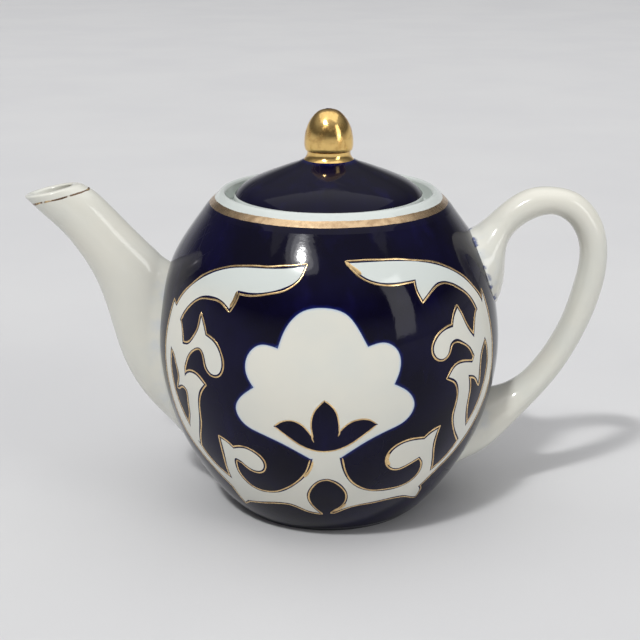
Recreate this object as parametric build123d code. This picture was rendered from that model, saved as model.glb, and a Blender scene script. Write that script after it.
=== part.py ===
from build123d import *
import math
import os

# A one-litre porcelain teapot with a lift-off lid, in millimetres.
# The origin is the centre of the foot on the table, +Z is up the pot's axis,
# the spout points along -X and the handle along +X.

# ---- driving dimensions ----
foot_radius = 37.0          # outer edge of the standing ring
foot_height = 2.5           # from the table to the underside of the floor
foot_width = 4.4            # across the ring, where it meets the floor
foot_bevel = 0.7            # softened edges of the standing ring
floor_top = 7.0             # inside floor of the pot
belly_radius = 65.0         # widest radius of the pot
wall = 4.0                  # wall of the belly
seat_height = 116.5         # ledge that the lid rests on
seat_lip = 3.5              # thickness of the ledge at the mouth
mouth_radius = 33.5         # hole that the lid's flange drops through
collar_inner_radius = 38.6  # inside of the raised ring round the lid
lid_radius = 35.5           # outer edge of the lid
lid_edge_top = 120.0        # the lid's upright edge runs from here
lid_edge_foot = 117.2       # down to here, above a small bevel
lid_edge_bevel = 0.5
lid_flange_radius = 32.5    # outside of the flange under the lid
lid_flange_wall = 3.0
lid_flange_depth = 8.0
knob_seat_height = 134.0    # top of the lid, under the knob
knob_seat_radius = 9.3
vent_radius = 1.3           # steam vent through the knob and the lid
spout_wall = 3.0
strainer_height = 57.0      # middle of the pierced patch behind the spout
strainer_radius = 9.0
strainer_hole_radius = 1.5
strainer_ring_radius = 5.6
strainer_ring_holes = 6

# ---- outlines, as (radius, height) ----
floor_radius = 39.3         # outside of the pot where the floor meets the foot
shoulder_radius = 46.2      # outside of the pot at the height of the lid's seat
body_outline = [
    (floor_radius, foot_height),
    (43.2, 7.0),
    (50.9, 18.0),
    (58.3, 32.0),
    (63.1, 48.0),
    (belly_radius, 65.0),
    (63.2, 82.0),
    (59.0, 97.0),
    (52.4, 108.0),
    (shoulder_radius, seat_height),
]
cavity_outline = [
    (30.0, floor_top),
    (40.3, 10.5),
    (46.9, 18.0),
    (54.3, 32.0),
    (59.1, 48.0),
    (belly_radius - wall, 65.0),
    (59.2, 82.0),
    (54.3, 97.0),
    (47.5, 106.8),
    (40.0, 111.7),
    (mouth_radius, seat_height - seat_lip),
]
collar_outline = [
    (shoulder_radius, seat_height),
    (44.5, 118.4),
    (42.4, 120.4),
    (41.2, 121.7),
    (40.2, 122.4),
    (39.3, 122.4),
    (collar_inner_radius, 121.5),
]
lid_outline = [
    (knob_seat_radius, knob_seat_height),
    (11.5, 132.9),
    (15.5, 131.4),
    (20.0, 129.7),
    (25.0, 127.7),
    (29.0, 125.9),
    (32.3, 123.9),
    (34.4, 122.0),
    (35.3, 120.8),
    (lid_radius, lid_edge_top),
]
lid_hollow_outline = [
    (lid_flange_radius - lid_flange_wall, seat_height),
    (28.6, 120.0),
    (26.6, 122.6),
    (22.0, 125.2),
    (15.5, 127.8),
    (9.0, 129.8),
    (vent_radius, 130.4),
]
knob_outline = [
    (knob_seat_radius, knob_seat_height),
    (8.6, 135.0),
    (8.3, 136.2),
    (8.7, 138.0),
    (9.1, 140.2),
    (8.8, 143.4),
    (7.7, 147.0),
    (5.6, 150.2),
    (3.2, 152.1),
    (vent_radius, 152.6),
]

# ---- cross-sections, as (edge point, opposite edge point, half width) ----
# Both edge points are (x, z) in the pot's middle plane, and the half width is along Y.
# The spout runs from its lip down to a root that ends inside the body.
spout_sections = [
    ((-92.5, 124.4), (-113.4, 119.6), 8.3),
    ((-87.6, 121.5), (-106.4, 112.6), 8.6),
    ((-82.0, 116.0), (-100.6, 107.0), 9.0),
    ((-75.7, 109.1), (-95.0, 99.8), 9.5),
    ((-69.0, 102.1), (-90.4, 92.0), 10.0),
    ((-62.3, 95.1), (-86.7, 83.0), 10.6),
    ((-56.5, 87.0), (-83.3, 70.5), 11.4),
    ((-51.0, 78.0), (-79.4, 56.5), 12.6),
    ((-46.5, 68.0), (-72.0, 42.5), 14.2),
    ((-42.0, 58.0), (-61.5, 31.0), 15.4),
    ((-38.0, 50.0), (-49.5, 21.0), 15.6),
]
# The handle runs from its upper root, over the top and down to its lower root.
handle_sections = [
    ((46.0, 100.0), (56.0, 74.0), 16.0),
    ((54.6, 107.2), (64.3, 81.4), 14.6),
    ((59.8, 111.6), (66.5, 89.5), 11.2),
    ((65.4, 116.8), (67.2, 101.2), 8.0),
    ((73.2, 121.9), (73.6, 109.5), 6.6),
    ((82.3, 123.4), (82.4, 113.0), 6.2),
    ((93.0, 121.0), (88.4, 111.3), 6.1),
    ((101.2, 113.2), (92.6, 106.9), 6.0),
    ((105.4, 99.8), (95.2, 98.4), 6.0),
    ((104.2, 84.0), (93.8, 86.4), 6.0),
    ((99.6, 69.4), (90.0, 73.0), 6.1),
    ((93.2, 56.0), (84.2, 61.0), 6.2),
    ((84.4, 43.2), (76.6, 50.6), 6.8),
    ((73.4, 30.8), (69.2, 45.0), 9.0),
    ((61.8, 19.8), (62.6, 42.4), 13.2),
    ((44.0, 12.0), (51.0, 35.0), 15.6),
]


def revolved(outline):
    """Turn a closed (radius, height) outline round the pot's axis."""
    return revolve(make_face(outline), Axis.Z)


def curve(points, **tangents):
    """A smooth curve through (radius, height) points, in the XZ plane."""
    return Spline([(r, 0, z) for r, z in points], **tangents)


def line(*points):
    """Straight runs through (radius, height) points, in the XZ plane."""
    return Polyline([(r, 0, z) for r, z in points])


def section(edge, opposite, half_width, inset=0.0):
    """An oval that spans two edge points of the middle plane."""
    span = Vector(edge[0] - opposite[0], 0, edge[1] - opposite[1])
    middle = Vector((edge[0] + opposite[0]) / 2, 0, (edge[1] + opposite[1]) / 2)
    plane = Plane(origin=middle, x_dir=span, z_dir=span.cross(Vector(0, 1, 0)))
    return plane * Ellipse(span.length / 2 - inset, half_width - inset)


def body_envelope():
    """The pot's outside as one full solid: spout and handle are trimmed to it."""
    top = line((shoulder_radius, seat_height), (0, seat_height), (0, foot_height))
    bottom = line((0, foot_height), (floor_radius, foot_height))
    return revolved([curve(body_outline), top, bottom])


def cavity():
    """The space that holds the tea, with the mouth above it."""
    lip_height = seat_height - seat_lip
    floor = line((0, floor_top), cavity_outline[0])
    mouth = line((mouth_radius, lip_height), (mouth_radius, seat_height), (0, seat_height))
    axis = line((0, seat_height), (0, floor_top))
    return revolved([floor, curve(cavity_outline), mouth, axis])


def along_x(radius, y=0.0, z=strainer_height):
    """A short round bar along X through the wall behind the spout."""
    return Pos(wall / 2 - belly_radius, y, z) * Rot(0, 90, 0) * Cylinder(radius, 3 * wall)


def strainer_holes():
    """One hole in the middle of the strainer and a ring of holes round it."""
    holes = [along_x(strainer_hole_radius)]
    for i in range(strainer_ring_holes):
        turn = 2 * math.pi * i / strainer_ring_holes
        y = strainer_ring_radius * math.sin(turn)
        z = strainer_height + strainer_ring_radius * math.cos(turn)
        holes.append(along_x(strainer_hole_radius, y, z))
    return holes


def make_foot_ring():
    inner_radius = foot_radius - foot_width
    outline = line(
        (floor_radius, foot_height),
        (foot_radius, foot_bevel),
        (foot_radius - foot_bevel, 0),
        (inner_radius + foot_bevel, 0),
        (inner_radius, foot_bevel),
        (inner_radius, foot_height),
        (floor_radius, foot_height),
    )
    return revolved([outline])


def make_rim_collar():
    crown = curve(collar_outline)
    inside = line(collar_outline[-1], (collar_inner_radius, seat_height))
    base = line((collar_inner_radius, seat_height), (shoulder_radius, seat_height))
    return revolved([crown, inside, base])


def make_spout(envelope):
    outside = loft([section(*s) for s in spout_sections])
    bore_sections = [section(*s, inset=spout_wall) for s in spout_sections]
    # the bore starts just above the lip, so that it opens the spout's mouth cleanly
    above_lip = Pos(-1.0, 0, 4.0) * bore_sections[0]
    bore = loft([above_lip] + bore_sections)
    return outside - bore - envelope


def make_handle(envelope):
    return loft([section(*s) for s in handle_sections]) - envelope


def make_lid_dome():
    rest_radius = lid_radius - lid_edge_bevel
    edge = line(lid_outline[-1], (lid_radius, lid_edge_foot), (rest_radius, seat_height))
    rest_face = line((rest_radius, seat_height), lid_hollow_outline[0])
    vent = line(lid_hollow_outline[-1], (vent_radius, knob_seat_height))
    top = line((vent_radius, knob_seat_height), lid_outline[0])
    return revolved([curve(lid_outline), edge, rest_face, curve(lid_hollow_outline), vent, top])


def make_lid_flange():
    inner_radius = lid_flange_radius - lid_flange_wall
    bottom = seat_height - lid_flange_depth
    bevel = 0.8
    outline = line(
        (inner_radius, seat_height),
        (lid_flange_radius, seat_height),
        (lid_flange_radius, bottom + bevel),
        (lid_flange_radius - bevel, bottom),
        (inner_radius + bevel, bottom),
        (inner_radius, bottom + bevel),
        (inner_radius, seat_height),
    )
    return revolved([outline])


def make_lid_knob():
    vent = line(knob_outline[-1], (vent_radius, knob_seat_height))
    base = line((vent_radius, knob_seat_height), (knob_seat_radius, knob_seat_height))
    return revolved([curve(knob_outline), vent, base])


envelope = body_envelope()
body_wall = envelope - cavity()
patch = along_x(strainer_radius)

parts = {
    "pot_body": body_wall - patch,
    "strainer": (body_wall & patch) - strainer_holes(),
    "foot_ring": make_foot_ring(),
    "rim_collar": make_rim_collar(),
    "spout": make_spout(envelope),
    "handle": make_handle(envelope),
    "lid_dome": make_lid_dome(),
    "lid_flange": make_lid_flange(),
    "lid_knob": make_lid_knob(),
}

os.makedirs("parts", exist_ok=True)
for name, shape in parts.items():
    export_step(shape, f"parts/{name}.step")
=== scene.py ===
import math

import bpy
import numpy as np
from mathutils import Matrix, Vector, geometry, kdtree, noise


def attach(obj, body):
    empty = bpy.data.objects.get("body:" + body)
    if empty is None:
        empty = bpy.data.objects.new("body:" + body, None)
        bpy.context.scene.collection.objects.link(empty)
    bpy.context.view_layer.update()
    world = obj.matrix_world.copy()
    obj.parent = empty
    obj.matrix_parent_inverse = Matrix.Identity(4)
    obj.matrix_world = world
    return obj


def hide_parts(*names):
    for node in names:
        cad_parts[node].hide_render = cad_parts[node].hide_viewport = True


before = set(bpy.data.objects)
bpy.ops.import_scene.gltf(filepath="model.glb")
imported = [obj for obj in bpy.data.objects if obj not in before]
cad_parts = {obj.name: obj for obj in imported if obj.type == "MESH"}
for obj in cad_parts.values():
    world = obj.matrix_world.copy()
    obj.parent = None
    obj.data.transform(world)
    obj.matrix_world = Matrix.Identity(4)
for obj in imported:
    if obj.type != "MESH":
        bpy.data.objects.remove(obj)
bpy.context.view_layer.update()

# A cobalt, white and gilt porcelain teapot. Everything is worked out in millimetres, in the
# frame of the CAD model, and turned into metres as each mesh is made.
MM = 0.001

# ---- sizes shared with the CAD model ----
BELLY_RADIUS = 65.0
WALL = 4.0
FOOT_RADIUS = 37.0
FOOT_HEIGHT = 2.5
FOOT_WIDTH = 4.4
FLOOR_TOP = 7.0
FLOOR_RADIUS = 39.3
FLAT_FLOOR_RADIUS = 30.0
SHOULDER_RADIUS = 46.2
SEAT_HEIGHT = 116.5
SEAT_LIP = 3.5
MOUTH_RADIUS = 33.5
COLLAR_INNER_RADIUS = 38.6
COLLAR_INNER_TOP = 121.5
LID_RADIUS = 35.5
LID_EDGE_TOP = 120.0
LID_EDGE_FOOT = 117.2
LID_EDGE_BEVEL = 0.5
LID_HOLLOW_TOP = 130.4
FLANGE_RADIUS = 32.5
FLANGE_WALL = 3.0
FLANGE_DEPTH = 8.0
KNOB_SEAT_HEIGHT = 134.0
KNOB_SEAT_RADIUS = 9.3
KNOB_TOP = 152.6
VENT_RADIUS = 1.3
SPOUT_WALL = 3.0
STRAINER_HEIGHT = 57.0
STRAINER_RADIUS = 9.0
# how deep the spout and handle are rooted in the wall
ROOT_DEPTH = 1.5

# outlines, as (radius, height)
BODY_OUTLINE = [
    (FLOOR_RADIUS, FOOT_HEIGHT), (43.2, 7.0), (50.9, 18.0), (58.3, 32.0), (63.1, 48.0),
    (BELLY_RADIUS, 65.0), (63.2, 82.0), (59.0, 97.0), (52.4, 108.0), (SHOULDER_RADIUS, SEAT_HEIGHT),
]
CAVITY_OUTLINE = [
    (FLAT_FLOOR_RADIUS, FLOOR_TOP), (40.3, 10.5), (46.9, 18.0), (54.3, 32.0), (59.1, 48.0),
    (BELLY_RADIUS - WALL, 65.0), (59.2, 82.0), (54.3, 97.0), (47.5, 106.8), (40.0, 111.7),
    (MOUTH_RADIUS, SEAT_HEIGHT - SEAT_LIP),
]

# cross-sections, as (x and z of one edge, x and z of the edge opposite, half width)
SPOUT_SECTIONS = [
    (-92.5, 124.4, -113.4, 119.6, 8.3),
    (-87.6, 121.5, -106.4, 112.6, 8.6),
    (-82.0, 116.0, -100.6, 107.0, 9.0),
    (-75.7, 109.1, -95.0, 99.8, 9.5),
    (-69.0, 102.1, -90.4, 92.0, 10.0),
    (-62.3, 95.1, -86.7, 83.0, 10.6),
    (-56.5, 87.0, -83.3, 70.5, 11.4),
    (-51.0, 78.0, -79.4, 56.5, 12.6),
    (-46.5, 68.0, -72.0, 42.5, 14.2),
    (-42.0, 58.0, -61.5, 31.0, 15.4),
    (-38.0, 50.0, -49.5, 21.0, 15.6),
]
HANDLE_SECTIONS = [
    (46.0, 100.0, 56.0, 74.0, 16.0),
    (54.6, 107.2, 64.3, 81.4, 14.6),
    (59.8, 111.6, 66.5, 89.5, 11.2),
    (65.4, 116.8, 67.2, 101.2, 8.0),
    (73.2, 121.9, 73.6, 109.5, 6.6),
    (82.3, 123.4, 82.4, 113.0, 6.2),
    (93.0, 121.0, 88.4, 111.3, 6.1),
    (101.2, 113.2, 92.6, 106.9, 6.0),
    (105.4, 99.8, 95.2, 98.4, 6.0),
    (104.2, 84.0, 93.8, 86.4, 6.0),
    (99.6, 69.4, 90.0, 73.0, 6.1),
    (93.2, 56.0, 84.2, 61.0, 6.2),
    (84.4, 43.2, 76.6, 50.6, 6.8),
    (73.4, 30.8, 69.2, 45.0, 9.0),
    (61.8, 19.8, 62.6, 42.4, 13.2),
    (44.0, 12.0, 51.0, 35.0, 15.6),
]

# ---- the ornament, as (degrees round from the front, height) ----
# Each outline is a closed list of runs. A run is a smooth line that starts where the run before
# it ends, with a corner between them. The painting is by hand, so its two sides differ a little.
WHITE_OUTLINES = {
    "boll": [
        [(-13.8, 86.9), (-8.8, 93.0), (-1.3, 94.5), (5.7, 92.3), (9.4, 87.2), (12.1, 81.4)],
        [(17.7, 82.3), (21.6, 79.2), (22.4, 74.2), (20.2, 67.6)],
        [(25.2, 63.7), (27.2, 58.6), (24.6, 53.4), (19.3, 50.6), (11.2, 46.2), (4.0, 40.5)],
        [(-6.0, 39.8)],
        [(-14.1, 45.0), (-22.6, 48.8), (-27.9, 51.8), (-30.0, 57.0), (-27.8, 61.8), (-23.4, 65.9)],
        [(-25.9, 70.4), (-25.7, 76.8), (-21.8, 81.0), (-15.8, 80.5)],
    ],
    "left lower scroll": [
        [(-36.4, 41.6), (-33.7, 39.4)],
        [(-29.3, 40.7), (-25.2, 39.2), (-22.8, 35.4), (-24.2, 32.2), (-28.0, 31.8), (-31.6, 34.4)],
        [(-34.0, 35.2), (-35.2, 32.0), (-34.4, 26.0), (-30.6, 21.9), (-25.0, 21.1), (-18.4, 22.8),
         (-11.7, 27.8), (-7.3, 33.2), (-5.0, 41.5)],
        [(1.0, 42.0)],
        [(1.0, 31.0)],
        [(-2.6, 30.6), (-6.5, 27.0), (-8.5, 22.0), (-7.4, 17.0), (-4.0, 12.6)],
        [(-9.6, 13.9), (-14.6, 16.4), (-20.0, 16.8), (-30.0, 14.8), (-39.0, 12.9)],
        [(-42.6, 10.6)],
        [(-43.4, 14.0), (-43.6, 18.4)],
        [(-49.0, 25.0), (-54.4, 30.8), (-59.6, 36.5), (-63.6, 43.6), (-66.0, 54.0), (-66.9, 65.0),
         (-66.4, 76.0), (-63.8, 87.0)],
        [(-60.0, 85.5)],
        [(-61.6, 76.0), (-62.6, 66.0), (-61.6, 56.0), (-58.9, 47.4), (-55.6, 41.6)],
        [(-53.6, 37.6), (-50.2, 31.2), (-45.8, 26.6), (-40.7, 23.3)],
        [(-40.1, 28.6), (-38.9, 34.6), (-38.6, 42.4)],
    ],
    "right lower scroll": [
        [(37.3, 41.6), (38.4, 35.4), (41.1, 26.9)],
        [(46.2, 30.6), (50.4, 35.2), (52.8, 40.0), (54.2, 42.8)],
        [(58.6, 48.4), (61.6, 56.2), (63.4, 65.0), (62.4, 72.6), (60.6, 76.0)],
        [(62.2, 85.0), (64.4, 90.0)],
        [(66.6, 80.0), (67.4, 68.0), (66.6, 56.0), (63.4, 47.0), (58.4, 40.0), (52.0, 33.2), (46.0, 28.0),
         (41.8, 23.6), (38.9, 20.0)],
        [(40.9, 18.0), (41.6, 14.0)],
        [(38.0, 15.2), (33.4, 17.2), (28.2, 18.0), (18.0, 17.4), (11.0, 16.6), (2.0, 13.2)],
        [(6.4, 17.0), (7.3, 22.0), (5.4, 26.8), (2.2, 30.0), (-1.0, 31.2)],
        [(-1.0, 42.0)],
        [(3.4, 41.0)],
        [(4.6, 35.2), (7.2, 29.6), (12.4, 25.0), (20.0, 22.8), (27.8, 22.9), (33.2, 25.0), (35.4, 28.8),
         (34.6, 33.6), (32.6, 36.2)],
        [(28.4, 34.2), (23.8, 33.2), (20.7, 35.6), (20.6, 40.0), (23.9, 43.4), (28.6, 44.2), (33.0, 43.6)],
        [(35.2, 45.3), (38.0, 46.4)],
    ],
    "left upper leaf": [
        [(-10.4, 103.5), (-14.2, 100.8), (-21.0, 98.5), (-26.0, 97.7), (-32.0, 97.7)],
        [(-32.7, 94.6), (-34.2, 91.4)],
        [(-37.0, 93.2), (-42.0, 94.1), (-47.6, 93.0), (-52.6, 89.4), (-56.4, 84.6), (-58.6, 79.0)],
        [(-61.8, 78.0)],
        [(-61.9, 84.0), (-60.0, 88.6), (-55.6, 94.0), (-50.0, 98.6), (-44.0, 101.9), (-37.0, 104.1),
         (-28.0, 105.2), (-17.0, 105.9), (-8.9, 106.9)],
    ],
    "right upper leaf": [
        [(11.2, 104.6), (16.4, 102.1), (23.0, 101.2), (31.6, 101.3)],
        [(31.4, 98.0), (32.6, 94.6)],
        [(36.0, 96.9), (40.2, 98.9), (45.2, 98.5), (50.2, 96.0), (55.0, 91.8), (58.4, 86.0), (60.0, 79.0)],
        [(64.6, 81.0)],
        [(62.6, 87.6), (58.6, 93.4), (53.2, 98.8), (47.0, 102.6), (40.0, 105.2), (31.0, 107.0),
         (19.0, 107.9), (7.4, 108.0)],
    ],
    "left mid curl": [
        [(-44.0, 83.2), (-42.7, 80.4)],
        [(-38.8, 78.8), (-35.9, 75.0), (-35.2, 71.0), (-36.6, 68.0), (-39.2, 67.6), (-41.4, 69.8),
         (-42.8, 73.6), (-44.8, 75.4), (-47.8, 74.4), (-50.6, 71.4), (-52.6, 66.5)],
        [(-57.0, 68.0)],
        [(-55.0, 74.0), (-51.6, 74.8), (-48.4, 78.0), (-46.4, 81.8), (-45.7, 86.2)],
    ],
    "right mid curl": [
        [(44.5, 86.0), (43.6, 83.2)],
        [(39.4, 82.7), (36.0, 80.4), (34.6, 77.2), (35.8, 74.2), (38.4, 73.3), (40.6, 75.0), (41.6, 77.6),
         (44.2, 78.8), (47.4, 77.3), (51.6, 73.6), (53.6, 70.0)],
        [(57.0, 74.0)],
        [(53.2, 77.6), (50.2, 82.0), (48.0, 87.0), (46.9, 89.0)],
    ],
    "left link": [
        [(-57.8, 82.4), (-54.6, 76.0), (-52.9, 69.0), (-52.6, 62.6)],
        [(-50.8, 64.4), (-47.0, 65.2), (-42.6, 62.6)],
        [(-45.0, 59.6), (-46.5, 55.0), (-47.6, 48.0), (-49.8, 41.6), (-52.0, 36.0)],
        [(-55.6, 38.0)],
        [(-55.2, 41.8), (-52.9, 47.0), (-52.0, 53.0), (-52.2, 57.6), (-54.6, 58.6), (-57.6, 57.2)],
        [(-56.2, 61.4), (-57.8, 66.0), (-59.9, 69.4), (-61.6, 70.4), (-62.0, 82.0)],
    ],
    "right link": [
        [(58.2, 85.6), (55.2, 80.6), (53.8, 75.0), (53.6, 70.6), (52.0, 68.0)],
        [(47.6, 69.3), (43.2, 69.0), (40.4, 66.0)],
        [(43.8, 63.6), (45.3, 59.2), (45.2, 54.6), (44.8, 50.0), (46.6, 44.4), (51.6, 37.8)],
        [(54.4, 41.0)],
        [(52.4, 45.4), (51.0, 51.0), (51.0, 57.4), (50.0, 64.0)],
        [(54.0, 62.2), (56.6, 59.0)],
        [(56.6, 65.0), (58.2, 71.0), (61.2, 74.6), (62.4, 84.0)],
    ],
}
COBALT_OUTLINES = {
    "calyx": [
        [(-15.0, 54.4), (-12.0, 55.3), (-9.0, 54.4), (-5.3, 49.6)],
        [(-5.7, 54.4), (-4.7, 58.8), (-1.3, 63.4)],
        [(1.8, 60.1), (3.1, 56.0), (3.4, 51.6)],
        [(5.7, 54.3), (8.8, 55.8), (12.2, 55.7), (15.3, 53.2)],
        [(11.0, 49.2), (6.3, 45.4), (-1.0, 42.9), (-7.8, 44.4), (-13.1, 48.4), (-17.4, 52.2)],
    ],
}
# strokes of gold on their own, as (points, width): the calyx's notches, and where the brush
# went over a tip or an edge again
FREE_STROKES = [
    ([(-5.3, 49.8), (-5.2, 48.4), (-4.7, 46.9)], 0.55),
    ([(3.4, 51.8), (3.3, 50.6), (2.9, 49.4)], 0.55),
    ([(6.4, 108.1), (8.8, 106.6), (11.6, 104.5)], 1.6),
    ([(-32.2, 97.4), (-32.8, 94.6), (-34.0, 91.9)], 1.2),
    ([(-5.2, 38.8), (-6.3, 34.9), (-8.6, 31.4)], 1.05),
    ([(20.4, 40.4), (19.9, 38.0), (21.2, 35.2)], 1.2),
    ([(2.2, 13.5), (5.0, 15.2), (7.0, 17.8)], 0.9),
]

# ---- how finely the meshes are cut ----
COLUMNS = 256
TUBE_COLUMNS = 96
STROKE_STEP = 0.5
OUTLINE_STEP = 0.6

# material slots of the pieces that have cobalt and white on them
COBALT_SLOT, WHITE_SLOT, THIRD_SLOT = 0, 1, 2

# the edge_mm of points that no colour edge is near
FAR_FROM_EDGE = 9.0


# ---- curves ----
def distances(line):
    """How far along a line of points each of them is."""
    return np.concatenate([[0.0], np.cumsum(np.linalg.norm(np.diff(line, axis=0), axis=1))])


def points_at(line, want):
    """The points at these distances along a line."""
    way = distances(line)
    return np.stack([np.interp(want, way, column) for column in line.T], axis=1)


def even(line, spacing):
    """The same line with its points evenly spaced."""
    length = distances(line)[-1]
    count = max(2, int(round(length / spacing)) + 1)
    return points_at(line, np.linspace(0, length, count))


def smooth(points, spacing):
    """Points every `spacing` along the natural cubic spline through these."""
    p = np.array(points, float)
    t = distances(p)
    h = np.diff(t)
    system = np.eye(len(t))
    right = np.zeros_like(p)
    for i in range(1, len(t) - 1):
        system[i, i - 1:i + 2] = h[i - 1], 2 * (h[i - 1] + h[i]), h[i]
        right[i] = 6 * ((p[i + 1] - p[i]) / h[i] - (p[i] - p[i - 1]) / h[i - 1])
    bend = np.linalg.solve(system, right)
    u = np.linspace(0, t[-1], max(40, int(6 * t[-1] / spacing)))
    i = np.clip(np.searchsorted(t, u, side="right") - 1, 0, len(h) - 1)
    a = ((t[i + 1] - u) / h[i])[:, None]
    b = 1 - a
    step = (h[i] ** 2 / 6)[:, None]
    fine = a * p[i] + b * p[i + 1] + ((a ** 3 - a) * bend[i] + (b ** 3 - b) * bend[i + 1]) * step
    return even(fine, spacing)


def once_round(columns):
    """Angles round the axis, from the front towards +X."""
    return np.arange(columns) * 2 * math.pi / columns


def turned(r, z, turn):
    """Points at radius r and height z, turned round the axis."""
    return np.stack([r * np.sin(turn), -r * np.cos(turn), z + 0 * turn], axis=-1)


class Wall:
    """A turned surface: (u, s) is the way round at belly size and the way up the outline.

    `side` is 1 where its face looks away from the axis, and -1 where it looks inwards.
    """

    def __init__(self, outline, side):
        self.line = smooth(outline, 0.4)
        self.s = distances(self.line)
        self.slope = np.gradient(self.line, self.s, axis=0)
        self.side = side

    def place(self, u, s, lift=0.0):
        """Points and outward normals in space."""
        turn = np.asarray(u) / BELLY_RADIUS
        r, z = (np.interp(s, self.s, self.line[:, k]) for k in (0, 1))
        dr, dz = (np.interp(s, self.s, self.slope[:, k]) for k in (0, 1))
        size = np.hypot(dr, dz)
        normal = turned(self.side * dz / size, -self.side * dr / size, turn)
        return turned(r, z, turn) + normal * np.asarray(lift)[..., None], normal

    def at_height(self, z):
        return np.interp(z, self.line[:, 1], self.s)

    def radius(self, z):
        return np.interp(z, self.line[:, 1], self.line[:, 0])


outside = Wall(BODY_OUTLINE, 1)
inside = Wall(CAVITY_OUTLINE, -1)
QUARTER = BELLY_RADIUS * math.pi / 2


def with_starts(outlines):
    """The outlines with each run given its first point, where the run before it ends."""
    return {name: [[runs[k - 1][-1], *run] for k, run in enumerate(runs)] for name, runs in outlines.items()}


def on_wall(run, spacing):
    """A smooth line through (degrees, height) points, as (u, s) on the outside wall."""
    return smooth([(math.radians(a) * BELLY_RADIUS, outside.at_height(z)) for a, z in run], spacing)


def drawn(runs):
    """An outline of the ornament on the wall, as a closed list of (u, s)."""
    return np.concatenate([on_wall(run, OUTLINE_STEP)[:-1] for run in runs])


# ---- meshes ----
class Surface:
    """Patches of triangles or quads that are welded into one mesh."""

    def __init__(self):
        self.points, self.normals, self.edge_mm = [], [], []
        self.faces, self.slots = [], []
        self.count = 0

    def add(self, points, normals, faces, slots=0, edge_mm=None):
        """A patch with one material slot, or one for each face."""
        self.points.append(np.asarray(points, float))
        self.normals.append(np.asarray(normals, float))
        self.edge_mm.append(np.full(len(points), FAR_FROM_EDGE) if edge_mm is None else edge_mm)
        self.faces += [[i + self.count for i in face] for face in faces]
        self.slots += [slots] * len(faces) if isinstance(slots, int) else slots
        self.count += len(points)

    def add_both(self, points, normals, faces, slots=0, edge_mm=None):
        """A patch of the front, and its mirror image at the back."""
        back = np.array([1.0, -1.0, 1.0])
        self.add(points, normals, faces, slots, edge_mm)
        self.add(points * back, normals * back, [face[::-1] for face in faces], slots, edge_mm)

    def add_grid(self, grid, slots=0, flip=False, edge_mm=None):
        """A grid of points [row][column], closed round its columns, with one slot or one for each row."""
        rows, columns = grid.shape[:2]
        faces = grid_faces(rows, columns)
        if flip:
            faces = [face[::-1] for face in faces]
        if not isinstance(slots, int):
            slots = np.repeat(slots, columns).tolist()
        self.add(grid.reshape(-1, 3), grid_normals(grid, flip=flip), faces, slots, edge_mm)

    def mesh(self, name, materials):
        """The welded mesh as an object; faces that the weld shrinks to nothing are left out."""
        points = np.concatenate(self.points)
        normals = np.concatenate(self.normals)
        edge_mm = np.concatenate(self.edge_mm)
        _, first, where = np.unique(np.round(points, 3), axis=0, return_index=True, return_inverse=True)
        where = where.reshape(-1)
        faces, slots, corner_normals = [], [], []
        for face, slot in zip(self.faces, self.slots):
            welded = [int(where[i]) for i in face]
            kept = [k for k in range(len(face)) if welded[k] != welded[k - 1]]
            if len(kept) < 3:
                continue
            faces.append([welded[k] for k in kept])
            slots.append(slot)
            corner_normals += [normals[face[k]] for k in kept]
        data = bpy.data.meshes.new(name)
        data.from_pydata((points[first] * MM).tolist(), [], faces)
        data.polygons.foreach_set("material_index", slots)
        data.polygons.foreach_set("use_smooth", [True] * len(faces))
        data.attributes.new("edge_mm", "FLOAT", "POINT").data.foreach_set("value", edge_mm[first])
        for material in materials:
            data.materials.append(material)
        data.normals_split_custom_set(corner_normals)
        return placed(name, data)


def placed(name, data):
    """A new object in the scene."""
    made = bpy.data.objects.new(name, data)
    bpy.context.scene.collection.objects.link(made)
    return made


def grid_faces(rows, columns):
    """The quads of a grid that is closed round its columns."""
    faces = []
    for i in range(rows - 1):
        for j in range(columns):
            a, b = i * columns + j, i * columns + (j + 1) % columns
            faces.append([a, b, b + columns, a + columns])
    return faces


def grid_normals(grid, closed=True, flip=False):
    """Smooth normals of a grid of points, as one list."""
    if closed:
        round_it = np.roll(grid, -1, axis=1) - np.roll(grid, 1, axis=1)
    else:
        round_it = np.gradient(grid, axis=1)
    normal = np.cross(round_it, np.gradient(grid, axis=0))
    size = np.linalg.norm(normal, axis=2, keepdims=True)
    normal = np.where(size > 1e-9, normal / np.maximum(size, 1e-9), 0)
    # the rows that shrink to a point on the axis take the next row's mean
    for row, near in ((0, 1), (-1, -2)):
        if np.ptp(grid[row], axis=0).max() < 1e-6:
            mean = normal[near].mean(axis=0)
            normal[row] = mean / np.linalg.norm(mean)
    return (-normal if flip else normal).reshape(-1, 3)


def lathe(surface, *runs, columns=COLUMNS, thin_round=None):
    """Runs of a profile turned round the axis; each is (slot, points...), with corners between them.

    The cobalt is thin, and so bluer, round a ring of radius `thin_round`.
    """
    for slot, *points in runs:
        line = smooth(points, 0.5) if len(points) > 2 else even(np.array(points, float), 3.0)
        edge_mm = None
        if thin_round is not None and slot == COBALT_SLOT:
            edge_mm = np.repeat(0.4 + 0.5 * np.abs(line[:, 0] - thin_round), columns)
        surface.add_grid(turned(line[:, :1], line[:, 1:], once_round(columns)), slot, edge_mm=edge_mm)


def lathe_closed(surface, *runs, **settings):
    """The same for a closed profile, whose runs start where the run before them ends."""
    lathe(surface, *[(slot, runs[k - 1][-1], *points) for k, (slot, *points) in enumerate(runs)], **settings)


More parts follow.
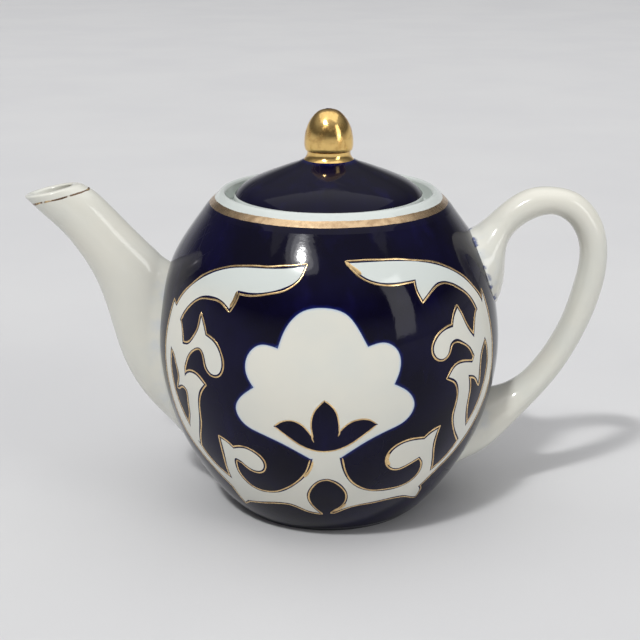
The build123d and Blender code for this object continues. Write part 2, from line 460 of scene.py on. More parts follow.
# ---- the ornament's regions ----
def within(points, loop):
    """Which points lie inside a closed loop."""
    inside_it = np.zeros(len(points), bool)
    low, high = loop.min(axis=0), loop.max(axis=0)
    near = np.nonzero(((points >= low) & (points <= high)).all(axis=1))[0]
    x, y = points[near, 0][:, None], points[near, 1][:, None]
    x0, y0 = loop[:, 0], loop[:, 1]
    x1, y1 = np.roll(x0, -1), np.roll(y0, -1)
    spans = (y0 > y) != (y1 > y)
    rise = np.where(y1 == y0, 1e-12, y1 - y0)
    crossing = x0 + (y - y0) * (x1 - x0) / rise
    inside_it[near] = (spans & (x < crossing)).sum(axis=1) % 2 == 1
    return inside_it


WHITE_RUNS = with_starts(WHITE_OUTLINES)
COBALT_RUNS = with_starts(COBALT_OUTLINES)
WHITE_LOOPS = {name: drawn(runs) for name, runs in WHITE_RUNS.items()}
COBALT_LOOPS = {name: drawn(runs) for name, runs in COBALT_RUNS.items()}
ALL_LOOPS = [*WHITE_LOOPS.values(), *COBALT_LOOPS.values()]


def is_white(points):
    white = np.zeros(len(points), bool)
    for loop in WHITE_LOOPS.values():
        white |= within(points, loop)
    for loop in COBALT_LOOPS.values():
        white &= ~within(points, loop)
    return white


def side_directions(line, closed):
    """Unit directions to the right of a line of points."""
    if closed:
        along = np.roll(line, -1, axis=0) - np.roll(line, 1, axis=0)
    else:
        along = np.gradient(line, axis=0)
    along /= np.maximum(np.linalg.norm(along, axis=1, keepdims=True), 1e-9)
    return np.stack([along[:, 1], -along[:, 0]], axis=1)


def colour_edge(loops):
    """The points of these outlines where white meets cobalt."""
    kept = []
    for loop in loops:
        aside = 0.05 * side_directions(loop, True)
        kept.append(loop[is_white(loop + aside) != is_white(loop - aside)])
    return np.concatenate(kept)


def tree_of(points):
    tree = kdtree.KDTree(len(points))
    for i, p in enumerate(points):
        tree.insert((p[0], p[1], 0.0), i)
    tree.balance()
    return tree


def distance_to(tree, points):
    return np.array([tree.find((p[0], p[1], 0.0))[2] for p in points])


EDGE_TREE = tree_of(colour_edge(ALL_LOOPS))
BOLL_TREE = tree_of(colour_edge([WHITE_LOOPS["boll"]]))


def to_blurred_edge(points):
    """Only the boll's edge has run blue, so the others count as further away."""
    return np.minimum(distance_to(BOLL_TREE, points), distance_to(EDGE_TREE, points) + 0.7)


# ---- the pot's wall ----
def strainer_bite(wall, count=28):
    """The front half of the strainer's round edge on a wall, from its top to its bottom."""
    t = np.linspace(0, math.pi, count)
    z = STRAINER_HEIGHT + STRAINER_RADIUS * np.cos(t)
    across = STRAINER_RADIUS * np.sin(t)
    u = -QUARTER + BELLY_RADIUS * np.arcsin(across / wall.radius(z))
    return np.stack([u, wall.at_height(z)], axis=1)


def triangulated(wall, loops, row_height):
    """The front half of a wall as triangles, with the loops and the strainer's edge among its edges."""
    top = wall.s[-1]
    rows = int(round(top / row_height)) + 1
    u, s = np.meshgrid(np.linspace(-QUARTER, QUARTER, COLUMNS // 2 + 1), np.linspace(0, top, rows))
    grid = np.stack([u.ravel(), s.ravel()], axis=1)
    on_border = (grid[:, 1] < 1e-6) | (grid[:, 1] > top - 1e-6)
    bite = strainer_bite(wall)
    hole = np.concatenate([bite, [[-QUARTER - 1, bite[-1, 1]], [-QUARTER - 1, bite[0, 1]]]])
    lines = [(bite, False)] + [(loop, True) for loop in loops]
    # the grid's points keep clear of the lines, or slivers would form
    clear = distance_to(tree_of(np.concatenate([line for line, _ in lines])), grid) > 0.45
    points = [grid[on_border | (clear & ~within(grid, hole))]]
    edges = []
    count = len(points[0])
    for line, closed in lines:
        last = len(line) if closed else len(line) - 1
        edges += [(count + i, count + (i + 1) % len(line)) for i in range(last)]
        points.append(line)
        count += len(line)
    flat = [Vector(p) for p in np.concatenate(points)]
    made = geometry.delaunay_2d_cdt(flat, edges, [], 0, 1e-5, False)
    flat = np.array([tuple(v) for v in made[0]])
    faces = np.array([f for f in made[2] if len(f) == 3])
    faces = faces[~within(flat[faces].mean(axis=1), hole)]
    a, b, c = flat[faces[:, 0]], flat[faces[:, 1]], flat[faces[:, 2]]
    area = (b[:, 0] - a[:, 0]) * (c[:, 1] - a[:, 1]) - (b[:, 1] - a[:, 1]) * (c[:, 0] - a[:, 0])
    faces[area < 0] = faces[area < 0][:, ::-1]
    return flat, faces[np.abs(area) > 1e-7]


def add_wall(surface, wall, row_height, loops=()):
    """Both halves of a wall, all white where there are no loops to part white from cobalt."""
    flat, faces = triangulated(wall, loops, row_height)
    points, normals = wall.place(flat[:, 0], flat[:, 1])
    if wall.side < 0:
        faces = faces[:, ::-1]
    slots, edge_mm = WHITE_SLOT, None
    if loops:
        slots = np.where(is_white(flat[faces].mean(axis=1)), WHITE_SLOT, COBALT_SLOT).tolist()
        edge_mm = to_blurred_edge(flat)
    surface.add_both(points, normals, faces.tolist(), slots, edge_mm)


def add_strainer_edge(surface):
    """The hole through the wall that the strainer closes."""
    edges = [(wall, strainer_bite(wall)) for wall in (outside, inside)]
    points = np.concatenate([wall.place(edge[:, 0], edge[:, 1])[0] for wall, edge in edges])
    inward = np.array([0.0, 0.0, STRAINER_HEIGHT]) - points
    inward[:, 0] = 0
    n = len(points) // 2
    faces = [[n + i, n + i + 1, i + 1, i] for i in range(n - 1)]
    surface.add_both(points, inward / STRAINER_RADIUS, faces, WHITE_SLOT)


def build_pot_body(materials):
    surface = Surface()
    add_wall(surface, outside, row_height=1.6, loops=ALL_LOOPS)
    add_wall(surface, inside, row_height=2.4)
    add_strainer_edge(surface)
    lathe(
        surface,
        (WHITE_SLOT, (0.0, FOOT_HEIGHT), (FLOOR_RADIUS, FOOT_HEIGHT)),
        (WHITE_SLOT, (MOUTH_RADIUS, SEAT_HEIGHT), (MOUTH_RADIUS, SEAT_HEIGHT - SEAT_LIP)),
        (WHITE_SLOT, (SHOULDER_RADIUS, SEAT_HEIGHT), (MOUTH_RADIUS, SEAT_HEIGHT)),
        (WHITE_SLOT, (FLAT_FLOOR_RADIUS, FLOOR_TOP), (0.0, FLOOR_TOP)),
    )
    return surface.mesh("pot_body_glazed", materials)


# ---- raised gold lines ----
def wander(line, seed, scale):
    """A smooth wandering number, from -1 to 1, at each point of a line."""
    return np.array([noise.noise(Vector((p[0] / scale, p[1] / scale, seed))) for p in line])


def wander_round(turn, radius, seed, scale):
    """The same round a ring, so that its ends meet."""
    return wander(np.stack([np.cos(turn) * radius, np.sin(turn) * radius], axis=1), seed, scale)


# across a stroke, as (share of its half width, height over the glaze)
STROKE_SECTION = [(-1.0, -0.05), (-0.75, 0.045), (0.0, 0.075), (0.75, 0.045), (1.0, -0.05)]


def add_stroke(surface, line, width, seed):
    """One brush stroke of gold along a line on the outside wall, tapered at its ends."""
    line = even(line, STROKE_STEP)
    if len(line) < 4:
        return
    way = np.arange(len(line)) * STROKE_STEP
    taper = np.clip(0.35 + np.minimum(way, way[-1] - way) / 1.2, 0, 1)
    half = width / 2 * taper * (1 + 0.28 * wander(line, seed, 6.0) + 0.14 * wander(line, seed + 9, 1.5))
    # the way round at belly size is longer than the real one where the wall is narrower
    stretch = BELLY_RADIUS / np.interp(line[:, 1], outside.s, outside.line[:, 0])
    across = side_directions(line, False) * np.stack([stretch, np.ones(len(line))], axis=1)
    rows = []
    for share, lift in STROKE_SECTION:
        spot = line + across * (share * half)[:, None]
        rows.append(outside.place(spot[:, 0], spot[:, 1], np.full(len(line), lift))[0])
    grid = np.stack(rows, axis=1)
    count, columns = grid.shape[:2]
    start_cap = list(range(columns))[::-1]
    end_cap = [(count - 1) * columns + j for j in range(columns)]
    faces = [*grid_faces(count, columns), start_cap, end_cap]
    surface.add_both(grid.reshape(-1, 3), grid_normals(grid, closed=False), faces)


def offset_run(runs, k, into, gap, seed):
    """A run of an outline moved off the colour edge, pointed where the outline has a tip."""
    lines = [on_wall(run, STROKE_STEP) for run in runs]
    line = lines[k]
    normal = side_directions(line, False) * into
    moved = line + normal * (gap * (1 + 0.55 * wander(line, seed + 40, 9.0)))[:, None]
    for end, other in ((0, lines[k - 1]), (-1, lines[(k + 1) % len(lines)])):
        middle = normal[end] + side_directions(other, False)[-1 - end] * into
        size = np.linalg.norm(middle)
        if size < 1e-6:
            continue
        middle /= size
        outward_corner = np.dot(middle, (line[end] - line[end - 3 if end else 3])) > 0
        if outward_corner:
            tip = line[end] + middle * min(1.7, gap / max(0.1, np.dot(middle, normal[end])))
            moved = np.vstack([tip, moved]) if end == 0 else np.vstack([moved, tip])
    return moved


def kept_stretches(line, clearance):
    """The stretches of an offset line that stay clear of the white."""
    clear = ~is_white(line) & (distance_to(EDGE_TREE, line) > 0.7 * clearance)
    stretches, start = [], None
    for i, ok in enumerate([*clear, False]):
        if ok and start is None:
            start = i
        if not ok and start is not None:
            if i - start > 3:
                stretches.append(line[start:i])
            start = None
    return stretches


def signed_area(loop):
    x, y = loop[:, 0], loop[:, 1]
    return 0.5 * float(np.sum(x * np.roll(y, -1) - np.roll(x, -1) * y))


def build_gold_lines(material):
    """Lines round every white shape but the boll, lines inside the calyx, and the free strokes."""
    surface = Surface()
    seed, seed_step = 0.0, 3.7
    # (outline, side the line is on, gap to the colour edge, clearance, width)
    lined = [(runs, 1.0, 0.85, 0.45, 0.62) for name, runs in WHITE_RUNS.items() if name != "boll"]
    lined += [(runs, -1.0, 0.2, 0.1, 0.55) for runs in COBALT_RUNS.values()]
    for runs, side, gap, clearance, width in lined:
        # the right of an anticlockwise outline is its outside
        into = side if signed_area(drawn(runs)) > 0 else -side
        for k in range(len(runs)):
            seed += seed_step
            for stretch in kept_stretches(offset_run(runs, k, into, gap, seed), clearance):
                add_stroke(surface, stretch, width, seed)
    for points, width in FREE_STROKES:
        seed += seed_step
        add_stroke(surface, on_wall(points, STROKE_STEP), width, seed)
    return surface.mesh("gold_lines", [material])


# ---- rim collar, foot, lid and knob ----
def build_rim_collar(materials):
    """Cobalt at its foot, then a gold band with a hand-painted edge, then white over the rim."""
    shoulder, inner_top = (SHOULDER_RADIUS, SEAT_HEIGHT), (COLLAR_INNER_RADIUS, COLLAR_INNER_TOP)
    round_over = [(44.5, 118.4), (42.4, 120.4), (41.2, 121.7), (40.2, 122.4), (39.3, 122.4)]
    outer = smooth([shoulder, *round_over, inner_top], 0.1)
    way = distances(outer)
    turn = once_round(COLUMNS * 2)
    radius = 42.0
    low = 2.5 + 0.16 * wander_round(turn, radius, 3.0, 9.0) + 0.07 * wander_round(turn, radius, 5.0, 2.0)
    high = 5.35 + 0.22 * wander_round(turn, radius, 7.0, 11.0) + 0.1 * wander_round(turn, radius, 8.0, 2.0)
    end = np.full(len(turn), way[-1])
    zones = [(0 * low, low, 4, COBALT_SLOT), (low, high, 8, THIRD_SLOT), (high, end, 24, WHITE_SLOT)]
    rows, slots = [], []
    for start, stop, count, slot in zones:
        rows += [start + (stop - start) * i / count for i in range(count)]
        slots += [slot] * count
    rows.append(end)
    surface = Surface()
    grid = [turned(np.interp(row, way, outer[:, 0]), np.interp(row, way, outer[:, 1]), turn) for row in rows]
    surface.add_grid(np.stack(grid), slots)
    lathe(
        surface,
        (WHITE_SLOT, inner_top, (COLLAR_INNER_RADIUS, SEAT_HEIGHT)),
        (WHITE_SLOT, (COLLAR_INNER_RADIUS, SEAT_HEIGHT), shoulder),
        columns=COLUMNS * 2,
    )
    return surface.mesh("rim_collar_glazed", materials)


def build_foot_ring(materials):
    """Its standing edge is bare, because glaze would stick to the kiln shelf."""
    surface = Surface()
    inner = FOOT_RADIUS - FOOT_WIDTH
    bevel = 0.7
    lathe_closed(
        surface,
        (COBALT_SLOT, (FOOT_RADIUS, bevel), (FLOOR_RADIUS, FOOT_HEIGHT)),
        (WHITE_SLOT, (inner, FOOT_HEIGHT)),
        (WHITE_SLOT, (inner, bevel), (inner + bevel, 0.0)),
        (THIRD_SLOT, (FOOT_RADIUS - bevel, 0.0)),
    )
    return surface.mesh("foot_ring_glazed", materials)


def build_lid_dome(materials):
    """The cobalt stops just short of the lid's edge, where a thin line of white shows."""
    surface = Surface()
    dome = [(34.4, 122.0), (32.3, 123.9), (29.0, 125.9), (25.0, 127.7), (20.0, 129.7), (15.5, 131.4)]
    hollow = [(9.0, 129.8), (15.5, 127.8), (22.0, 125.2), (26.6, 122.6), (28.6, 120.0)]
    lathe_closed(
        surface,
        (WHITE_SLOT, (LID_RADIUS, LID_EDGE_FOOT)),
        (WHITE_SLOT, (LID_RADIUS, LID_EDGE_TOP)),
        (WHITE_SLOT, (35.35, 120.7), (34.95, 121.35)),
        (COBALT_SLOT, *dome, (11.5, 132.9), (KNOB_SEAT_RADIUS, KNOB_SEAT_HEIGHT)),
        (COBALT_SLOT, (VENT_RADIUS, KNOB_SEAT_HEIGHT)),
        (WHITE_SLOT, (VENT_RADIUS, LID_HOLLOW_TOP)),
        (WHITE_SLOT, *hollow, (FLANGE_RADIUS - FLANGE_WALL, SEAT_HEIGHT)),
        (THIRD_SLOT, (LID_RADIUS - LID_EDGE_BEVEL, SEAT_HEIGHT)),
        thin_round=KNOB_SEAT_RADIUS,
    )
    return surface.mesh("lid_dome_glazed", materials)


def build_lid_flange(materials):
    """A ring with rounded lower edges."""
    surface = Surface()
    outer, inner = FLANGE_RADIUS, FLANGE_RADIUS - FLANGE_WALL
    low = SEAT_HEIGHT - FLANGE_DEPTH
    lathe_closed(
        surface,
        (WHITE_SLOT, (outer - 0.2, low + 0.3), (outer, low + 1.0)),
        (WHITE_SLOT, (outer, SEAT_HEIGHT)),
        (WHITE_SLOT, (inner, SEAT_HEIGHT)),
        (WHITE_SLOT, (inner, low + 1.0)),
        (WHITE_SLOT, (inner + 0.2, low + 0.3), (inner + 0.8, low)),
        (WHITE_SLOT, (outer - 0.8, low)),
    )
    return surface.mesh("lid_flange_glazed", materials)


def build_lid_knob(material):
    """An egg on a flared neck, with a groove between them and the vent down the middle."""
    surface = Surface()
    egg = [(9.0, 138.7), (9.1, 140.2), (8.8, 143.4), (7.7, 147.0), (5.6, 150.2), (3.2, 152.1)]
    lathe_closed(
        surface,
        (0, (8.5, 135.0), (8.05, 136.2), (8.1, 137.2)),
        (0, (8.75, 137.7)),
        (0, *egg, (VENT_RADIUS, KNOB_TOP)),
        (0, (VENT_RADIUS, KNOB_SEAT_HEIGHT)),
        (0, (KNOB_SEAT_RADIUS, KNOB_SEAT_HEIGHT)),
        columns=128,
    )
    return surface.mesh("lid_knob_gilt", [material])


# ---- spout and handle ----
def lofted(sections, wall=0.0):
    """Rings of points through the sections, `wall` inside them: an array [ring][column][xyz]."""
    fine = smooth(sections, 0.7)
    turn = -once_round(TUBE_COLUMNS)
    middle = (fine[:, 0:2] + fine[:, 2:4]) / 2
    reach = (fine[:, 0:2] - fine[:, 2:4]) / 2
    length = np.linalg.norm(reach, axis=1, keepdims=True)
    reach = reach * (length - wall) / length
    half = (fine[:, 4:5] - wall) * np.sin(turn)
    x, z = (middle[:, k:k + 1] + reach[:, k:k + 1] * np.cos(turn) for k in (0, 1))
    return np.stack([x, half, z], axis=2)


def depth_in_pot(points):
    """How far points lie inside the pot's outer surface, negative outside it."""
    r = np.hypot(points[..., 0], points[..., 1])
    z = points[..., 2]
    slope_r, slope_z = (np.interp(z, outside.line[:, 1], outside.slope[:, k]) for k in (0, 1))
    upright = slope_z / np.hypot(slope_r, slope_z)
    return (outside.radius(z) - r) * upright


def to_the_wall(rings, rows, marks=()):
    """Each lengthwise line cut where it is ROOT_DEPTH deep in the pot's wall.

    It gets a point at each of the marks, which are distances from its start, and `rows` even
    ones from there on.
    """
    cut = []
    for j in range(rings.shape[1]):
        line = rings[:, j]
        depths = depth_in_pot(line)
        last = int(np.argmax(depths > ROOT_DEPTH))
        share = (ROOT_DEPTH - depths[last - 1]) / (depths[last] - depths[last - 1])
        line = np.vstack([line[:last], line[last - 1] + share * (line[last] - line[last - 1])])
        first = [mark[j] for mark in marks]
        rest = np.linspace(first[-1] if first else 0.0, distances(line)[-1], rows + 1)
        cut.append(points_at(line, np.concatenate([first, rest[bool(first):]])))
    return np.stack(cut, axis=1)


def flared(grid, reach, amount):
    """Widens a tube where it meets the pot, as the slip that joins them does."""
    near = np.clip(1 + depth_in_pot(grid) / reach, 0, 1)
    normal = grid_normals(grid).reshape(grid.shape)
    return grid + normal * (amount * near ** 2)[..., None]


def from_the_pot(grid):
    """Distance outside the pot's surface, which the blue smudges and the painted shade at the joins follow.
    """
    return np.clip(-depth_in_pot(grid), 0, 60).reshape(-1)


def build_spout(materials):
    """One tube from the root up the bore, over the lip and down the outside, with a line of gold."""
    turn = once_round(TUBE_COLUMNS)
    radius = 9.0
    line_top = 2.7 + 0.7 * wander_round(turn, radius, 11.0, 7.0)
    line_width = 0.8 + 0.4 * wander_round(turn, radius, 12.0, 3.0)
    marks = [0 * turn, 1.0 + 0 * turn, line_top, line_top + line_width]
    outer = flared(to_the_wall(lofted(SPOUT_SECTIONS), 170, marks), reach=5.0, amount=1.3)
    bore = to_the_wall(lofted(SPOUT_SECTIONS, SPOUT_WALL), 120)
    # the lip is a half round across the wall at the mouth
    middle, half = (outer[0] + bore[0]) / 2, (outer[0] - bore[0]) / 2
    forward = outer[0] - outer[2]
    forward /= np.linalg.norm(forward, axis=1, keepdims=True)
    rise = 0.7 * forward * np.linalg.norm(half, axis=1, keepdims=True)
    lip = [middle + half * math.cos(a) + rise * math.sin(a) for a in np.linspace(math.pi, 0, 13)[1:-1]]
    grid = np.concatenate([bore[::-1], lip, outer])
    white, gold = 0, 1
    slots = [white] * (len(grid) - 1)
    slots[len(bore) + len(lip) + 2] = gold
    surface = Surface()
    surface.add_grid(grid, slots, edge_mm=from_the_pot(grid))
    surface.add_grid(np.stack([outer[-1], bore[-1]]), white)
    return surface.mesh("spout_glazed", materials)


def build_handle(materials):
    rings = lofted(HANDLE_SECTIONS)
    middle = len(rings) // 2
    upper = to_the_wall(rings[middle::-1], 190)
    lower = to_the_wall(rings[middle:], 190)
    grid = flared(np.concatenate([upper[::-1], lower[1:]]), reach=4.0, amount=0.8)
    surface = Surface()
    surface.add_grid(grid, edge_mm=from_the_pot(grid))
    for edge, turned_back in ((grid[0], True), (grid[-1], False)):
        centre = np.repeat(edge.mean(axis=0)[None], len(edge), axis=0)
        surface.add_grid(np.stack([edge, centre]), flip=turned_back)
    return surface.mesh("handle_glazed", materials)


# ---- materials ----
class Nodes:
    """A material's nodes, made one at a time. Sizes are in mm."""

    def __init__(self, name):
        self.material = bpy.data.materials.new(name)
        self.material.use_nodes = True
        self.tree = self.material.node_tree
        self.shader = self.tree.nodes["Principled BSDF"]
        place = self.make("ShaderNodeTexCoord").outputs["Object"]
        self.where = self.mapped(place, Scale=(1 / MM,) * 3)

    def make(self, kind, _settings=None, **inputs):
        node = self.tree.nodes.new(kind)
        for key, value in (_settings or {}).items():
            setattr(node, key, value)
        for key, value in inputs.items():
            self.set(node, key.replace("_", " "), value)
        return node

    def set(self, node, key, value):
        """Links a socket to an input, or sets the input to a number or a colour."""
        socket = node.inputs[key]
        if isinstance(value, bpy.types.NodeSocket):
            self.tree.links.new(value, socket)
        else:
            socket.default_value = value

    def mapped(self, vector, **mapping):
        return self.make("ShaderNodeMapping", Vector=vector, **mapping).outputs[0]

    def shrunk_height(self, share):
        """The place with its height shrunk, which draws the features of a noise out downwards."""
        return self.mapped(self.where, Scale=(1.0, 1.0, share))

    def noise(self, size, detail=3.0, vector=None):
        """Noise with features about `size` across, from 0 to 1."""
        vector = self.where if vector is None else vector
        node = self.make("ShaderNodeTexNoise", Vector=vector, Scale=1 / size, Detail=detail, Roughness=0.55)
        return node.outputs["Fac"]

    def ramp(self, value, low, high, start=0.0, end=1.0):
        """value between low and high becomes start to end, smoothly."""
        limits = {"From_Min": low, "From_Max": high, "To_Min": start, "To_Max": end}
        node = self.make("ShaderNodeMapRange", {"interpolation_type": "SMOOTHSTEP"}, Value=value, **limits)
        return node.outputs["Result"]

    def math(self, operation, a, b):
        node = self.make("ShaderNodeMath", {"operation": operation})
        self.set(node, 0, a)
        self.set(node, 1, b)
        return node.outputs[0]

    def plus(self, a, b):
        return self.math("ADD", a, b)

    def times(self, a, b):
        return self.math("MULTIPLY", a, b)

    def mix(self, share, a, b):
        """Colour a, turning into colour b as share goes from 0 to 1."""
        node = self.make("ShaderNodeMix", {"data_type": "RGBA"})
        for i, value in ((0, share), (6, a), (7, b)):
            self.set(node, i, (*value, 1.0) if isinstance(value, tuple) else value)
        return node.outputs[2]

    def edge_mm(self):
        """The distance that the meshes carry: to the colour edge, the pot or the knob."""
        return self.make("ShaderNodeAttribute", {"attribute_name": "edge_mm"}).outputs["Fac"]

    def ragged_edge_mm(self, size, amount):
        return self.plus(self.edge_mm(), self.times(self.noise(size), amount))

    def axis(self, name):
        return self.make("ShaderNodeSeparateXYZ", Vector=self.where).outputs[name]

    def spots(self, spacing, size):
        """1 in small round spots `size` across, one at random in each `spacing`."""
        cells = self.make("ShaderNodeTexVoronoi", Vector=self.where, Scale=1 / spacing)
        half = size / spacing / 2
        return self.ramp(cells.outputs["Distance"], half, half * 0.6)

    def scratches(self, spacing):
        """1 along fine hairlines in many directions."""
        total = None
        for turn in ((0.3, 0.2, 1.1), (1.2, 0.5, 0.1), (0.7, 1.4, 2.2)):
            twisted = self.mapped(self.where, Rotation=turn, Scale=(1.0, 1.0, 0.035))
            edges = {"feature": "DISTANCE_TO_EDGE"}
            cells = self.make("ShaderNodeTexVoronoi", edges, Vector=twisted, Scale=1 / spacing)
            line = self.ramp(cells.outputs["Distance"], 0.010, 0.002)
            total = line if total is None else self.math("MAXIMUM", total, line)
        return self.times(total, self.ramp(self.noise(spacing * 1.5), 0.52, 0.62))

    def gloss(self, size, low, high, hair, scratched):
        """Roughness that drifts between low and high, and is higher along the hairlines."""
        return self.plus(self.ramp(self.noise(size, 5.0), 0.3, 0.8, low, high), self.times(hair, scratched))

    def bump(self, *layers):
        """Stacks (height, depth) layers of relief."""
        normal = None
        for height, depth in layers:
            node = self.make("ShaderNodeBump", Height=height, Distance=depth * MM, Strength=1.0)
            if normal is not None:
                self.set(node, "Normal", normal)
            normal = node.outputs["Normal"]
        self.set(self.shader, "Normal", normal)

    def finish(self, colour, roughness, **values):
        self.set(self.shader, "Base Color", colour)
        self.set(self.shader, "Roughness", roughness)
        for key, value in values.items():
            self.shader.inputs[key].default_value = value
        return self.material


def cobalt_glaze():
    """Near black where it lies thick, blue where it has run or lies thin."""
    n = Nodes("cobalt_glaze")
    blackish, ink, violet_blue = (0.0018, 0.0012, 0.0085), (0.0030, 0.0022, 0.021), (0.0055, 0.0042, 0.042)
    deep = n.mix(n.ramp(n.noise(30.0), 0.35, 0.7), blackish, ink)
    runs = n.noise(9.0, 4.0, n.shrunk_height(0.3))
    deep = n.mix(n.ramp(runs, 0.5, 0.85, 0.0, 0.6), deep, violet_blue)
    # the oxide runs out thin and bright beside the white
    blue = n.mix(n.ramp(n.ragged_edge_mm(2.2, 1.4), 2.2, 0.6), deep, (0.0055, 0.0085, 0.085))
    blue = n.mix(n.ramp(n.edge_mm(), 0.4, 0.0, 0.0, 0.7), blue, (0.045, 0.08, 0.23))
    dust = n.spots(14.0, 0.45)
    colour = n.mix(dust, blue, (0.05, 0.05, 0.07))
    hair = n.scratches(26.0)
    sag = n.noise(7.0, 1.5, n.shrunk_height(0.22))
    n.bump((sag, 0.035), (n.noise(2.4, 2.0), 0.012), (n.noise(0.9, 2.0), 0.002), (hair, -0.004), (dust, 0.02))
    return n.finish(colour, n.gloss(7.0, 0.045, 0.10, hair, 0.22), IOR=1.26)


def cream_body(n):
    """The white's own colour, in soft clouds of cream and grey."""
    cream, grey = (0.71, 0.695, 0.615), (0.665, 0.67, 0.61)
    return n.mix(n.ramp(n.noise(26.0), 0.3, 0.75), cream, grey)


def finished_white(n, colour, swell_size, swell_depth):
    """A white glaze with its brown specks, its hairlines and the swell of its surface."""
    specks = n.times(n.spots(17.0, 0.42), n.ramp(n.noise(20.0), 0.45, 0.55))
    n.bump((n.noise(swell_size, 1.5), swell_depth), (n.noise(2.6, 2.0), 0.006), (specks, -0.03))
    roughness = n.gloss(9.0, 0.07, 0.14, n.scratches(34.0), 0.15)
    return n.finish(n.mix(specks, colour, (0.13, 0.09, 0.06)), roughness, IOR=1.52)


def white_glaze():
    """Painted shade: greyer and cooler towards the shoulder, which the lamps from above light most; with blue
    that has seeped in from the cobalt.
    """
    n = Nodes("white_glaze")
    # painted shade: from 90 to 101 mm up, the white turns greyer and cooler towards the shoulder
    body = n.mix(n.ramp(n.axis("Z"), 90.0, 101.0), cream_body(n), (0.61, 0.65, 0.62))
    seeped = n.ramp(n.ragged_edge_mm(1.6, 0.8), 1.3, 0.35, 0.0, 0.7)
    return finished_white(n, n.mix(seeped, body, (0.40, 0.50, 0.66)), 11.0, 0.05)


def applied_white_glaze():
    """The white of the spout and handle: painted shade lies darker and bluer where they join the pot, and
    blue flecks gather there.
    """
    n = Nodes("white_glaze_applied")
    # painted shade in the crease at the join: darker and bluer within 7 mm of the pot, in patches
    painted_join_shade = n.times(n.ramp(n.edge_mm(), 7.0, 0.5), n.ramp(n.noise(7.0), 0.42, 0.75))
    colour = n.mix(n.times(painted_join_shade, 0.25), cream_body(n), (0.36, 0.46, 0.64))
    # the flecks are only at the handle's upper root, where the glaze was touched
    upper_root = n.times(n.ramp(n.axis("X"), 0.0, 20.0), n.ramp(n.axis("Z"), 50.0, 65.0))
    patches = n.times(n.ramp(n.noise(4.0), 0.45, 0.58), upper_root)
    flecks = n.times(n.ramp(n.ragged_edge_mm(1.6, 1.6), 2.2, 1.0, 0.0, 0.9), patches)
    return finished_white(n, n.mix(flecks, colour, (0.035, 0.06, 0.20)), 13.0, 0.10)


def gilding(name, bright, dull, rough, grain):
    """Burnished gold, thinner and browner where it has worn."""
    n = Nodes(name)
    worn = n.ramp(n.noise(3.2, 4.0), 0.42, 0.72)
    colour = n.mix(n.times(worn, 0.8), bright, dull)
    roughness = n.plus(n.ramp(n.noise(1.3), 0.25, 0.8, rough, rough + 0.16), n.times(worn, 0.12))
    n.bump((n.noise(6.0, 1.0), grain), (n.noise(0.5, 2.0), 0.0025))
    return n.finish(colour, roughness, Metallic=1.0)


def worn_gilding():
    """The thin line round the spout's mouth, rubbed away in places."""
    n = Nodes("worn_gilding")
    rubbed_through, brown, gold = (0.62, 0.60, 0.53), (0.17, 0.105, 0.065), (0.60, 0.43, 0.22)
    left = n.ramp(n.noise(1.8, 4.0), 0.33, 0.43)
    bright = n.ramp(n.noise(3.0), 0.5, 0.62)
    n.bump((left, 0.01))
    n.set(n.shader, "Metallic", n.times(left, 0.6))
    colour = n.mix(left, rubbed_through, n.mix(bright, brown, gold))
    return n.finish(colour, n.ramp(n.noise(0.9), 0.3, 0.7, 0.15, 0.4), IOR=1.5)


def bare_porcelain():
    """The unglazed edges, gritty and a little stained."""
    n = Nodes("bare_porcelain")
    grain = n.noise(0.35, 4.0)
    stain = n.ramp(n.noise(8.0, 4.0), 0.5, 0.75)
    colour = n.mix(n.times(stain, 0.5), (0.64, 0.61, 0.55), (0.42, 0.37, 0.30))
    pits = n.spots(1.6, 0.3)
    n.bump((grain, 0.03), (pits, -0.05))
    return n.finish(n.mix(pits, colour, (0.30, 0.26, 0.22)), n.ramp(grain, 0.3, 0.7, 0.55, 0.8))


COBALT = cobalt_glaze()
WHITE = white_glaze()
APPLIED_WHITE = applied_white_glaze()
LINE_GOLD = gilding("gilding_line", (0.86, 0.62, 0.32), (0.46, 0.29, 0.13), 0.19, 0.01)
BAND_GOLD = gilding("gilding_band", (0.66, 0.48, 0.29), (0.38, 0.25, 0.14), 0.17, 0.01)
KNOB_GOLD = gilding("gilding_knob", (0.88, 0.60, 0.22), (0.55, 0.32, 0.10), 0.06, 0.12)
WORN_GOLD = worn_gilding()
BARE = bare_porcelain()


# ---- the pieces, on their bodies ----
def settle(piece, body, node=None):
    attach(piece, body)
    if node:
        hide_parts(node)


settle(build_pot_body([COBALT, WHITE]), "pot", "pot_body")
settle(build_gold_lines(LINE_GOLD), "pot")
settle(build_rim_collar([COBALT, WHITE, BAND_GOLD]), "pot", "rim_collar")
settle(build_foot_ring([COBALT, WHITE, BARE]), "pot", "foot_ring")
settle(build_spout([APPLIED_WHITE, WORN_GOLD]), "pot", "spout")
settle(build_handle([APPLIED_WHITE]), "pot", "handle")
settle(build_lid_dome([COBALT, WHITE, BARE]), "lid", "lid_dome")
settle(build_lid_flange([COBALT, WHITE]), "lid", "lid_flange")
settle(build_lid_knob(KNOB_GOLD), "lid", "lid_knob")

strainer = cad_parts["strainer"]
for material_slot in strainer.material_slots:
    material_slot.material = WHITE


# ---- the studio, in metres ----
def floor():
    """A pale paper floor, out to the horizon."""
    n = Nodes("studio_floor")
    paper = n.noise(0.9)
    n.bump((paper, 0.03))
    pale = n.mix(n.ramp(n.noise(180.0), 0.3, 0.7), (0.64, 0.64, 0.64), (0.615, 0.615, 0.62))
    n.finish(pale, n.ramp(paper, 0.3, 0.7, 0.8, 0.95))
    data = bpy.data.meshes.new("studio_floor")
    reach = 9.0
    corners = [(x * reach, y * reach, 0) for x, y in ((-1, -1), (1, -1), (1, 1), (-1, 1))]
    data.from_pydata(corners, [], [(0, 1, 2, 3)])
    data.materials.append(n.material)
    plane = placed("studio_floor", data)


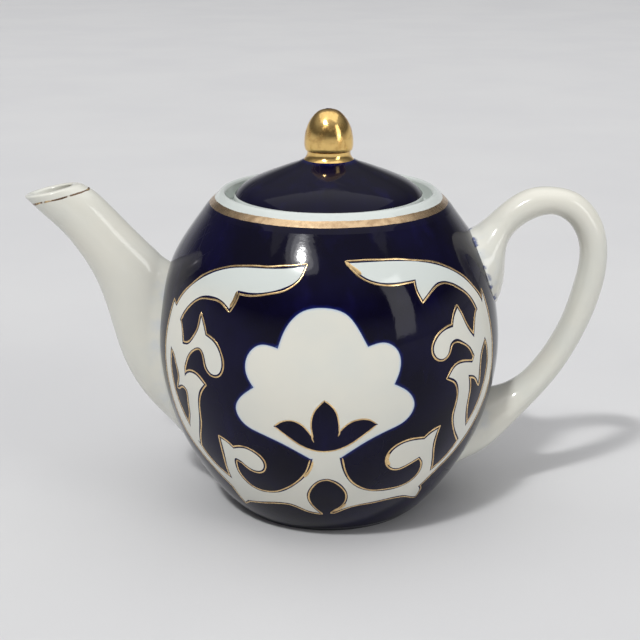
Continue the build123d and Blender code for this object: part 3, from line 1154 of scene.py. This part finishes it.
def aimed(thing, place, aim):
    """Puts a lamp or a camera at a place, looking at the aim."""
    thing.location = place
    thing.rotation_euler = (Vector(aim) - Vector(place)).to_track_quat("-Z", "Y").to_euler()


def area_light(name, shape, width, height, power, spread=180.0):
    data = bpy.data.lights.new(name, "AREA")
    data.shape = shape
    data.size = width
    data.size_y = height
    data.energy = power
    data.spread = math.radians(spread)
    return placed(name, data)


def direction(azimuth, elevation):
    """The unit direction at an azimuth from the front, towards +X, and an elevation, in degrees."""
    turn, rise = math.radians(azimuth), math.radians(elevation)
    return Vector((math.sin(turn) * math.cos(rise), -math.cos(turn) * math.cos(rise), math.sin(rise)))


def lamps():
    """One far lamp with a soft glow round it, as oval lamps of growing size, wider than high."""
    place = 30.0 * direction(-30.0, 54.4)
    for width, power in ((2.8, 3330.0), (5.0, 500.0), (8.0, 600.0), (12.0, 500.0)):
        aimed(area_light(f"lamp_{width:.2f}", "ELLIPSE", width, 0.42 * width, power), place, (0.0, 0.0, 0.0))


def softboxes():
    overhead = area_light("overhead", "RECTANGLE", 7.2, 4.8, 72.0)
    aimed(overhead, (0.0, 0.3, 4.5), (0.0, 0.0, 0.05))
    window = area_light("window_right", "RECTANGLE", 1.08, 2.85, 12.0, spread=110.0)
    aimed(window, (2.85, -2.25, 1.5), (0.0, 0.0, 0.08))


def studio_light():
    """A world as pale as the floor at the horizon, dim above it, and pale overhead."""
    world = bpy.data.worlds.new("studio")
    world.use_nodes = True
    nodes, links = world.node_tree.nodes, world.node_tree.links
    place = nodes.new("ShaderNodeTexCoord")
    split = nodes.new("ShaderNodeSeparateXYZ")
    ramp = nodes.new("ShaderNodeValToRGB")
    # (sine of the elevation, brightness)
    greys = [(0.0, 0.66), (0.07, 0.60), (0.25, 0.13), (0.45, 0.16), (0.9, 0.58)]
    while len(ramp.color_ramp.elements) < len(greys):
        ramp.color_ramp.elements.new(0.5)
    for stop, (rise, grey) in zip(ramp.color_ramp.elements, greys):
        stop.position = rise
        stop.color = (0.97 * grey, 0.97 * grey, grey, 1.0)
    links.new(place.outputs["Generated"], split.inputs[0])
    links.new(split.outputs["Z"], ramp.inputs[0])
    links.new(ramp.outputs["Color"], nodes["Background"].inputs["Color"])
    bpy.context.scene.world = world
    bpy.context.scene.view_settings.view_transform = "Standard"


def camera():
    """Half a metre from the pot's middle, and 17 degrees above the table."""
    target = Vector((0.0, 0.0, 0.078))
    distance = 0.5
    data = bpy.data.cameras.new("camera")
    data.lens = 73.27
    data.sensor_width = 36.0
    data.shift_x = -0.01375
    data.shift_y = -0.02656
    data.clip_start = 0.01
    eye = placed("camera", data)
    aimed(eye, target + distance * direction(0.0, 17.0), target)
    bpy.context.scene.camera = eye


studio_light()
floor()
lamps()
softboxes()
camera()
